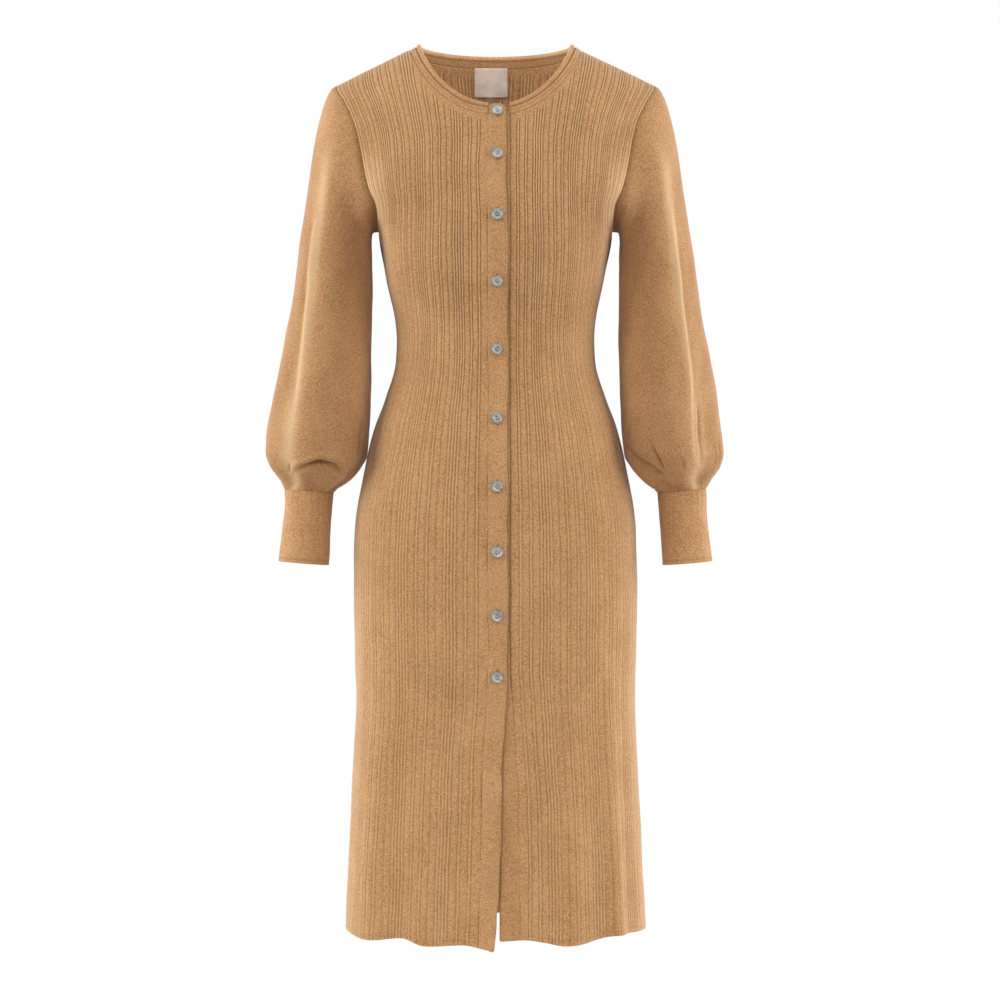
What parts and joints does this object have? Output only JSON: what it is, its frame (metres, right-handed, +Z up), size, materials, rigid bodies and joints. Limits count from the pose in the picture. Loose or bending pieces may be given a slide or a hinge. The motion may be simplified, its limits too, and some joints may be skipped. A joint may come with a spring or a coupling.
{
  "type": "sweater dress",
  "caption": "Long-sleeved rib-knit dress with a round rolled neck, balloon sleeves on deep cuffs and a buttoned front that opens into a slit; hollow, filled out as worn.",
  "frame": {"origin": "midway between the two high shoulder points, level with the top of the shoulders, where the wearer's shoulders carry the dress", "axes": "+Z up along the dress, +X towards the wearer's left, the buttoned front faces -Y"},
  "size_m": [0.5808, 0.2603, 1.1294],
  "materials": {
    "rib_knit": "camel melange wool and cotton yarn in an uneven wide rib, matte with a soft fuzz",
    "jersey_knit": "camel melange plain jersey knit, matte with a soft fuzz",
    "shell_button": "grey mother-of-pearl, satin with a faint lustre",
    "label_cloth": "cream woven label, bare",
    "tab_cloth": "brown woven tab, bare"
  },
  "bodies": {
    "root": {"front_right": "rib_knit", "front_left": "rib_knit", "back_panel": "rib_knit", "sleeve_left": "jersey_knit", "sleeve_right": "jersey_knit", "cuff_left": "jersey_knit", "cuff_right": "jersey_knit", "neckband": "jersey_knit", "band_upper": "jersey_knit", "band_lower": "jersey_knit", "neck_label": "label_cloth", "size_tab": "tab_cloth", "button_01": "shell_button", "button_02": "shell_button", "button_03": "shell_button", "button_04": "shell_button", "button_05": "shell_button", "button_06": "shell_button", "button_07": "shell_button", "button_08": "shell_button", "button_09": "shell_button", "button_10": "shell_button"}
  },
  "joints": []
}
